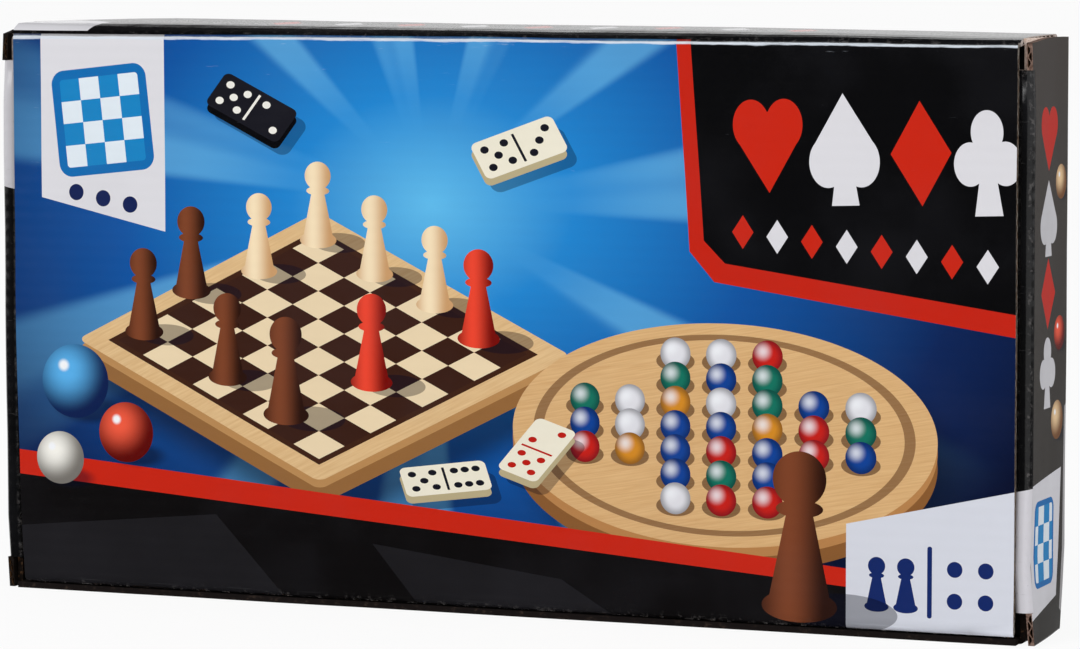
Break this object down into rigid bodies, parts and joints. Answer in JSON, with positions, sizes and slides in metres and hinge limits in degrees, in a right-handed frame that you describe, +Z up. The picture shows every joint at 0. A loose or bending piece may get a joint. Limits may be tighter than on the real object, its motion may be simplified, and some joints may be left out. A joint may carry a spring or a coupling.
{
  "type": "games compendium box",
  "caption": "Roll-end mailer carton of fluted board on its long edge, with a tuck-in lid, holding a hinged wooden board case with chessmen, draughts and dice.",
  "frame": {"origin": "middle of the base, on the surface that the carton stands on", "axes": "+X along the carton, towards the end seen at the right in the picture; -Y out of the printed lid; +Z up"},
  "size_m": [0.3014, 0.0356, 0.158],
  "materials": {
    "printed_card": "glossy print on fluted board",
    "kraft": "matt brown paper",
    "plywood": "printed and lacquered",
    "pine": "satin lacquer",
    "brass": "plated, satin",
    "light_wood": "turned and lacquered",
    "dark_wood": "stained and lacquered",
    "ivory_plastic": "polished",
    "red_plastic": "polished"
  },
  "bodies": {
    "carton": {"base_panel": "printed_card", "top_wall": "printed_card", "bottom_wall": "printed_card", "left_outer_wall": "printed_card", "right_outer_wall": "printed_card", "left_roll_strip": "printed_card", "right_roll_strip": "printed_card", "left_inner_wall": "kraft", "right_inner_wall": "kraft", "upper_left_dust_flap": "kraft", "upper_right_dust_flap": "kraft", "lower_left_dust_flap": "kraft", "lower_right_dust_flap": "kraft", "front_case_board": "plywood", "back_case_board": "plywood", "front_hinge_rail": "pine", "front_catch_rail": "pine", "front_left_rail": "pine", "front_right_rail": "pine", "back_hinge_rail": "pine", "back_catch_rail": "pine", "back_left_rail": "pine", "back_right_rail": "pine", "front_hinge_leaves": "brass", "back_hinge_leaves": "brass", "hinge_pins": "brass", "hinge_screws": "brass", "catch_pivot_screw": "brass", "catch_stud": "brass", "light_king": "light_wood", "light_queen": "light_wood", "light_bishops": "light_wood", "light_knights": "light_wood", "light_rooks": "light_wood", "light_pawns": "light_wood", "dark_king": "dark_wood", "dark_queen": "dark_wood", "dark_bishops": "dark_wood", "dark_knights": "dark_wood", "dark_rooks": "dark_wood", "dark_pawns": "dark_wood", "light_draughts": "light_wood", "dark_draughts": "dark_wood", "ivory_dice": "ivory_plastic", "red_dice": "red_plastic", "doubling_cube": "ivory_plastic"},
    "lid": {"lid_panel": "printed_card"},
    "tuck": {"tuck_flap": "printed_card"},
    "hook": {"catch_hook": "brass"}
  },
  "joints": [
    {"name": "lid_hinge", "type": "hinge", "parent": "carton", "child": "lid", "pos_m": [0, -0.01716, 0.15742], "axis": [-1, 0, 0], "range_deg": [0, 175]},
    {"name": "tuck_fold", "type": "hinge", "parent": "lid", "child": "tuck", "pos_m": [0, -0.01709, 0.00252], "axis": [-1, 0, 0], "range_deg": [0, 35]},
    {"name": "hook_turn", "type": "hinge", "parent": "carton", "child": "hook", "pos_m": [0, -0.00645, 0.15241], "axis": [0, 0, 1], "range_deg": [0, 85]}
  ],
  "couplings": [
    {"joint": "tuck_fold", "follows": "lid_hinge", "ratio": 0.2}
  ]
}
